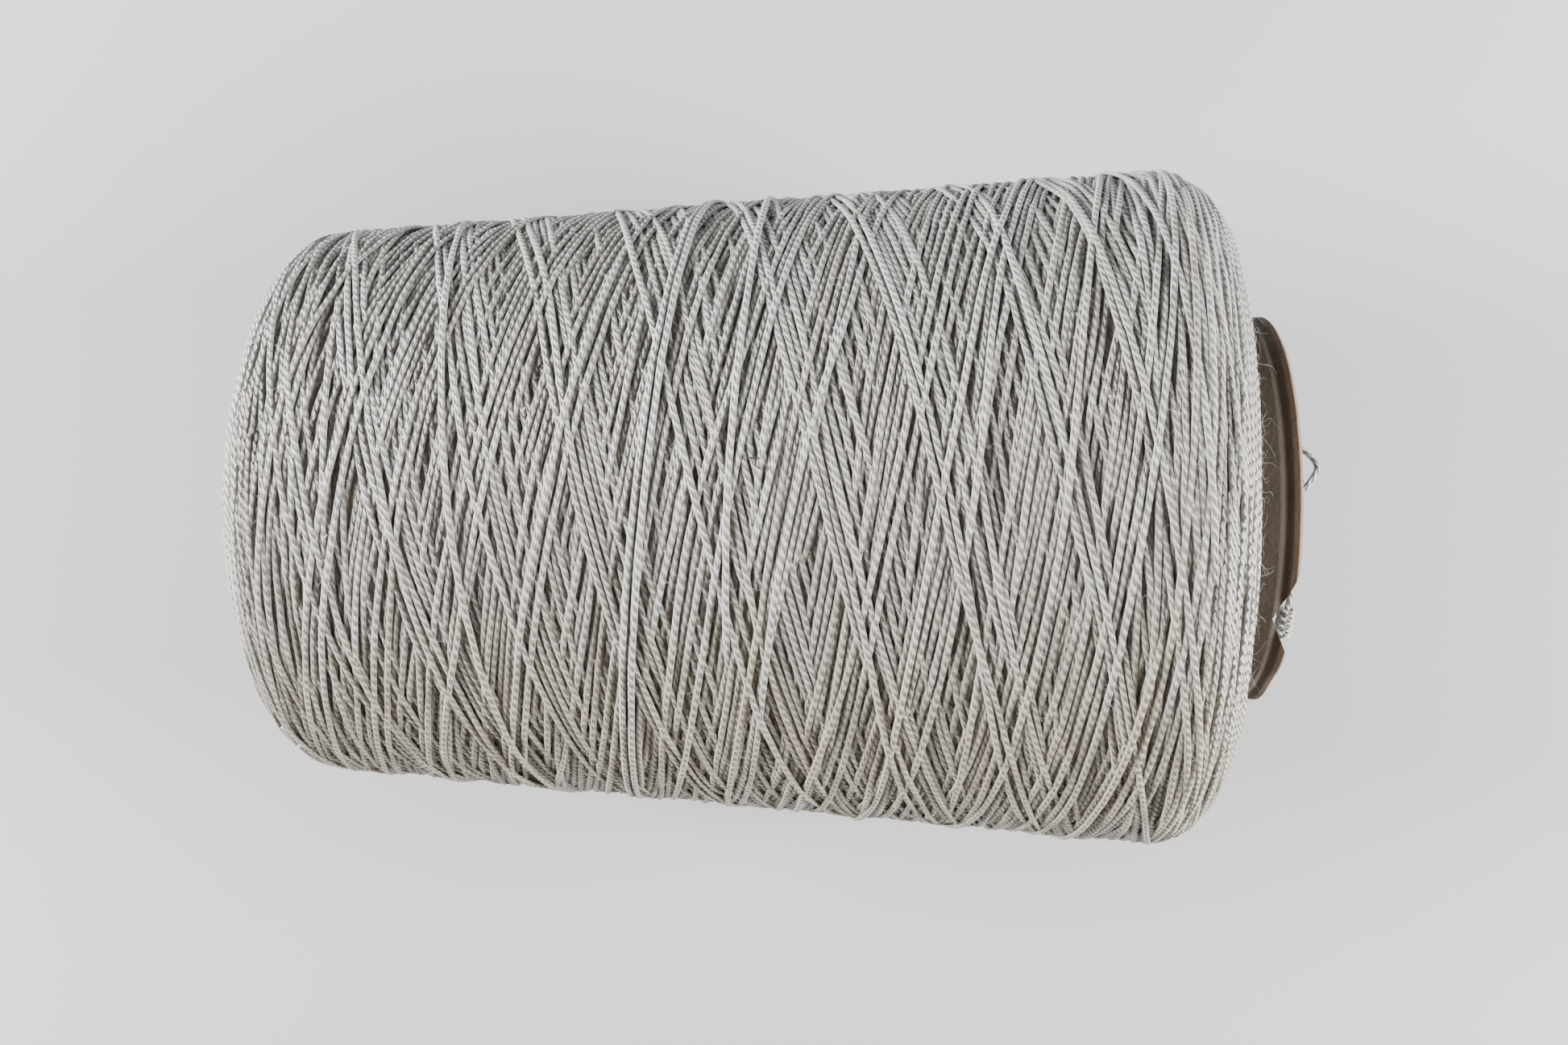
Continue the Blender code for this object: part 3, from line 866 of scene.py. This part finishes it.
def twoPlyGroup():
    # masks of a two-ply yarn from its own UV. Across the tube x is the cosine of the angle round it.
    # Each ply is a circle half as wide as the yarn, whose middle turns round the yarn's axis as it
    # runs. The surface is the higher of the two circles, less the height of the tube itself.
    group = bpy.data.node_groups.new("two_ply", "ShaderNodeTree")
    for name, way in (
        ("Pitch", "INPUT"), ("Half height", "INPUT"), ("Relief", "OUTPUT"),
        ("Groove", "OUTPUT"), ("Fibre", "OUTPUT"),
    ):
        group.interface.new_socket(name=name, in_out=way, socket_type="NodeSocketFloat")
    start = group.nodes.new("NodeGroupInput")
    finish = group.nodes.new("NodeGroupOutput")
    uv = group.nodes.new("ShaderNodeUVMap")
    uv.uv_map = "UVMap"
    split = group.nodes.new("ShaderNodeSeparateXYZ")
    group.links.new(uv.outputs[0], split.inputs[0])
    along, around = split.outputs[0], split.outputs[1]

    def math1(operation, *values):
        return mathNode(group, operation, *values)

    angle = math1("MULTIPLY", around, 2.0 * math.pi)
    across, lift = math1("COSINE", angle), math1("SINE", angle)
    turn = math1("MULTIPLY", math1("DIVIDE", along, start.outputs["Pitch"]), 2.0 * math.pi)
    middleAcross = math1("MULTIPLY", math1("COSINE", turn), 0.5)
    middleLift = math1("MULTIPLY", math1("MULTIPLY", math1("SINE", turn), 0.5), math1("SIGN", lift))
    tops = []
    for way in (1.0, -1.0):
        off = math1("SUBTRACT", across, math1("MULTIPLY", middleAcross, way))
        room = math1("SUBTRACT", 0.25, math1("MULTIPLY", off, off))
        inside = math1("SQRT", math1("MAXIMUM", room, 0.0))
        outside = math1("SQRT", math1("MAXIMUM", math1("MULTIPLY", room, -1.0), 0.0))
        top = math1("ADD", math1("MULTIPLY", middleLift, way), inside)
        tops.append(math1("SUBTRACT", top, outside))
    surface = math1("SMOOTH_MAX", tops[0], tops[1], 0.06)
    relief = math1("SUBTRACT", surface, math1("ABSOLUTE", lift))
    # Groove: where the surface dips below the tube, the mask for painted shade in the grooves
    groove = math1("MULTIPLY", math1("ADD", relief, 0.03), -1.5)
    groove = math1("MINIMUM", math1("MAXIMUM", groove, 0.0), 1.0)
    groove = math1("MULTIPLY", groove, math1("SUBTRACT", 1.0, math1("POWER", across, 6.0)))
    place = group.nodes.new("ShaderNodeCombineXYZ")
    for socket, value in zip(place.inputs, (
        math1("MULTIPLY", across, 5.5), math1("MULTIPLY", lift, 5.5), math1("MULTIPLY", along, 1700.0)
    )):
        group.links.new(value, socket)
    fibre = noiseNode(group, place.outputs[0], Scale=1.0, Detail=3.0, Roughness=0.6)
    rough = math1("MULTIPLY", math1("SUBTRACT", fibre, 0.5), 0.30)
    metres = math1("MULTIPLY", math1("ADD", relief, rough), start.outputs["Half height"])
    for name, value in (("Relief", metres), ("Groove", groove), ("Fibre", fibre)):
        group.links.new(value, finish.inputs[name])
    return group


twoPly = twoPlyGroup()

look = {
    "ivory": (0.48, 0.473, 0.460),
    "warm": (0.365, 0.312, 0.230),
    "low": (0.085, 0.074, 0.060),  # strands that lie lowest, in the shade of the others
    # groove: painted shade, in the ply grooves and in the packed yarn's grain
    "groove": (0.120, 0.099, 0.074),
    "grooveShade": 0.85,
    "toneWarmth": 0.16,  # how much the warm colour comes in with a strand's own tone
    "cloudWarmth": 0.22,
    "sideWarmth": 0.95,  # and on the side that faces -Y: painted warm light
    "lowToTop": (-0.12, 0.95),  # the levels between which the low colour fades out
    # under: the packed yarn below the strands, darkened as painted shade
    "under": (0.20, 0.17, 0.13),
    "kraft": (0.038, 0.027, 0.018),
    "kraftLight": (0.060, 0.044, 0.029),
    "kraftDark": (0.018, 0.013, 0.008),
    # the rim's edge: a painted highlight
    "rim": (0.17, 0.105, 0.070),
    # a band of painted light over the rounded rim
    "paintedLightBand": (0.075, 0.040, 0.020),
    "paintedLightBandFrom": (0.1565, 0.1590),  # where along the axis each comes in
    "rimFrom": (0.1583, 0.1587),
    "husk": (0.035, 0.020, 0.011),
    "straw": (0.50, 0.40, 0.22),
}


def attributeNode(tree, name):
    made = tree.nodes.new("ShaderNodeAttribute")
    made.attribute_name = name
    return made.outputs["Fac"]


def rampValue(tree, value, low, high):
    # 0 below low, 1 above high, smooth between
    made = tree.nodes.new("ShaderNodeMapRange")
    made.interpolation_type = "SMOOTHSTEP"
    made.inputs["From Min"].default_value = low
    made.inputs["From Max"].default_value = high
    tree.links.new(value, made.inputs["Value"])
    return made.outputs[0]


def bumpNode(tree, shader, height, strength, distance):
    made = tree.nodes.new("ShaderNodeBump")
    setInputs(made, Strength=strength, Distance=distance)
    tree.links.new(height, made.inputs["Height"])
    tree.links.new(made.outputs[0], shader.inputs["Normal"])


def yarnMaterial(name):
    # ivory plies with painted shade in the grooves between them, darker in painted shade where a strand
    # lies low, a slow change of tone over the cone with painted warm light on the side that faces -Y,
    # and the sheen of combed fibres
    made, tree, shader = newMaterial(name)
    plies = tree.nodes.new("ShaderNodeGroup")
    plies.node_tree = twoPly
    setInputs(plies, Pitch=yarn["plyPitch"], Half_height=yarn["halfHeight"])
    place = tree.nodes.new("ShaderNodeTexCoord")
    clouds = noiseNode(tree, place.outputs["Object"], Scale=22.0, Detail=2.0)
    warmth = mathNode(tree, "MULTIPLY_ADD", attributeNode(tree, "tone"), look["toneWarmth"], 0.05)
    warmth = mathNode(tree, "ADD", warmth, mathNode(tree, "MULTIPLY", clouds, look["cloudWarmth"]))
    split = tree.nodes.new("ShaderNodeSeparateXYZ")
    tree.links.new(place.outputs["Object"], split.inputs[0])
    # painted warm light: the side that faces -Y turns warmer
    warmLitSide = rampValue(tree, split.outputs["Y"], 0.0, -0.055)
    warmth = mathNode(tree, "MULTIPLY_ADD", warmLitSide, look["sideWarmth"], warmth)
    colour = mixColour(tree, warmth, look["ivory"], look["warm"])
    level = rampValue(tree, attributeNode(tree, "level"), *look["lowToTop"])
    colour = mixColour(tree, level, look["low"], colour)
    streak = mathNode(tree, "MULTIPLY_ADD", plies.outputs["Fibre"], 0.9, 0.55)
    shade = tree.nodes.new("ShaderNodeCombineColor")
    for socket in shade.inputs[:3]:
        tree.links.new(streak, socket)
    colour = mixColour(tree, 0.8, colour, shade.outputs[0], "MULTIPLY")
    # painted shade in the grooves between the plies
    groove = mathNode(tree, "MULTIPLY", plies.outputs["Groove"], look["grooveShade"])
    colour = mixColour(tree, groove, colour, look["groove"])
    tree.links.new(colour, shader.inputs["Base Color"])
    bumpNode(tree, shader, plies.outputs["Relief"], 1.0, 1.5)
    setInputs(shader, Roughness=0.44, Specular_IOR_Level=0.60, Sheen_Weight=0.30, Sheen_Roughness=0.35)
    return made


def underMaterial():
    # packed yarn in the shade between the strands, its colour darkened as painted shade: a fine grain
    # of two warm browns
    made, tree, shader = newMaterial("packed_yarn")
    place = tree.nodes.new("ShaderNodeTexCoord")
    noise = noiseNode(tree, place.outputs["Object"], Scale=900.0)
    colour = mixColour(tree, noise, look["under"], look["groove"])
    tree.links.new(colour, shader.inputs["Base Color"])
    setInputs(shader, Roughness=0.95)
    return made


def paperMaterial():
    # brown board: cloudy pulp, short fibres, a band of painted light over the rounded rim and a painted
    # highlight on its edge
    made, tree, shader = newMaterial("brown_board")
    place = tree.nodes.new("ShaderNodeTexCoord")
    clouds = noiseNode(tree, place.outputs["Object"], Scale=160.0, Detail=5.0)
    pulp = noiseNode(tree, place.outputs["Object"], Scale=1400.0, Detail=3.0)
    colour = mixColour(tree, clouds, look["kraftDark"], look["kraftLight"])
    colour = mixColour(tree, mathNode(tree, "MULTIPLY", pulp, 0.5), colour, look["kraft"])
    fromAxis = tree.nodes.new("ShaderNodeVectorMath")
    fromAxis.operation = "SUBTRACT"
    fromAxis.inputs[1].default_value = cone["axisAt"]
    tree.links.new(place.outputs["Object"], fromAxis.inputs[0])
    dot = tree.nodes.new("ShaderNodeVectorMath")
    dot.operation = "DOT_PRODUCT"
    dot.inputs[1].default_value = (math.cos(cone["lean"]), 0.0, math.sin(cone["lean"]))
    tree.links.new(fromAxis.outputs["Vector"], dot.inputs[0])
    ragged = mathNode(tree, "MULTIPLY_ADD", clouds, 0.0010, dot.outputs["Value"])
    # painted light: a warmer, lighter band over the rounded rim
    band = mathNode(tree, "MULTIPLY", rampValue(tree, ragged, *look["paintedLightBandFrom"]), 0.6)
    colour = mixColour(tree, band, colour, look["paintedLightBand"])
    # painted highlight: a pale line along the rim's edge
    edge = mathNode(tree, "MULTIPLY", rampValue(tree, ragged, *look["rimFrom"]), 0.8)
    colour = mixColour(tree, edge, colour, look["rim"])
    tree.links.new(colour, shader.inputs["Base Color"])
    bumpNode(tree, shader, pulp, 0.7, 0.00015)
    setInputs(shader, Roughness=0.85, Specular_IOR_Level=0.25)
    return made


def fuzzMaterial():
    made, tree, shader = newMaterial("yarn_fibre")
    setInputs(shader, Base_Color=(*look["ivory"], 1.0), Roughness=0.7)
    return made


def fleckMaterial():
    # from brown husk to yellow straw by the fleck's own tone, with a fine grain
    made, tree, shader = newMaterial("plant_fleck")
    place = tree.nodes.new("ShaderNodeTexCoord")
    grain = noiseNode(tree, place.outputs["Object"], Scale=4000.0)
    colour = mixColour(tree, attributeNode(tree, "tone"), look["husk"], look["straw"])
    dim = mathNode(tree, "MULTIPLY", grain, 0.5)
    tree.links.new(mixColour(tree, dim, colour, look["husk"]), shader.inputs["Base Color"])
    setInputs(shader, Roughness=0.6)
    return made


ivoryYarn = yarnMaterial("ivory_yarn")
packedYarn = underMaterial()
brownBoard = paperMaterial()
for piece in packagePieces:
    piece.data.materials.append(packedYarn if piece is under else ivoryYarn)
fuzzPiece.data.materials.append(fuzzMaterial())
fleckPiece.data.materials.append(fleckMaterial())
packagePieces += [fuzzPiece, fleckPiece]
tailPiece.data.materials.append(ivoryYarn)
frame["nodes"]["core"].data.materials.clear()
frame["nodes"]["core"].data.materials.append(brownBoard)

# Which solids the pieces stand for

for piece in packagePieces:
    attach(piece, "root")
    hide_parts("yarn_package")
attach(tailPiece, "root")
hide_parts("tail")

# Floor, light and camera

studio = {
    "floor": (0.33, 0.33, 0.33),
    "floorReach": 15.0,
    "aim": (0.0, 0.0, 0.05),
    "lights": (  # place, size, power and colour
        ("light_left", (-0.62, 0.05, 0.27), (0.25, 0.35), 28.0, (0.97, 0.985, 1.0)),
        ("light_right", (0.62, -0.03, 0.27), (0.25, 0.35), 26.0, (0.97, 0.985, 1.0)),
        ("light_back", (0.0, 0.60, 0.60), (0.8, 0.5), 1.2, (0.86, 0.92, 1.0)),
        ("light_front", (0.0, -0.60, 0.60), (0.8, 0.5), 2.0, (1.0, 0.80, 0.56)),
    ),
    "skyColour": (0.95, 0.97, 1.0, 1.0),
    "sky": 0.20,
    "cameraAbove": 0.2658,  # over the middle of the yarn's axis
    "cameraOffset": (0.0062, -0.0030),
    "cameraTurn": 0.0094,
    "lens": 36.55,
}


def areaLight(name, place, target, size, power, colour):
    # a soft box that faces its target
    made = bpy.data.lights.new(name, "AREA")
    made.shape = "RECTANGLE"
    made.size, made.size_y = size
    made.energy = power
    made.color = colour
    lamp = bpy.data.objects.new(name, made)
    bpy.context.scene.collection.objects.link(lamp)
    lamp.location = place
    way = np.array(target) - np.array(place)
    lamp.rotation_euler = (
        math.atan2(math.hypot(way[0], way[1]), -way[2]),
        0.0,
        math.atan2(way[1], way[0]) - math.pi / 2.0,
    )


floorMesh = bpy.data.meshes.new("floor")
reach = studio["floorReach"]
floorCorners = [(-reach, -reach, 0), (reach, -reach, 0), (reach, reach, 0), (-reach, reach, 0)]
floorMesh.from_pydata(floorCorners, [], [(0, 1, 2, 3)])
floor = bpy.data.objects.new("floor", floorMesh)
bpy.context.scene.collection.objects.link(floor)
floorPaint, _, floorShader = newMaterial("pale_floor")
setInputs(floorShader, Base_Color=(*studio["floor"], 1.0), Roughness=0.85)
floor.data.materials.append(floorPaint)

for name, place, size, power, colour in studio["lights"]:
    areaLight(name, place, studio["aim"], size, power, colour)
world = bpy.data.worlds.new("studio")
bpy.context.scene.world = world
world.use_nodes = True
sky = world.node_tree.nodes["Background"]
setInputs(sky, Color=studio["skyColour"], Strength=studio["sky"])

middle = toRow(np.zeros(1), np.array([cone["traverse"] / 2.0]), np.zeros(1))[0]
cameraData = bpy.data.cameras.new("camera")
cameraData.sensor_width = 36.0
cameraData.lens = studio["lens"]
cameraData.clip_start = 0.01
camera = bpy.data.objects.new("camera", cameraData)
bpy.context.scene.collection.objects.link(camera)
camera.location = (
    middle[0] + studio["cameraOffset"][0],
    middle[1] + studio["cameraOffset"][1],
    middle[2] + studio["cameraAbove"],
)
camera.rotation_euler = (0.0, 0.0, studio["cameraTurn"])
bpy.context.scene.camera = camera
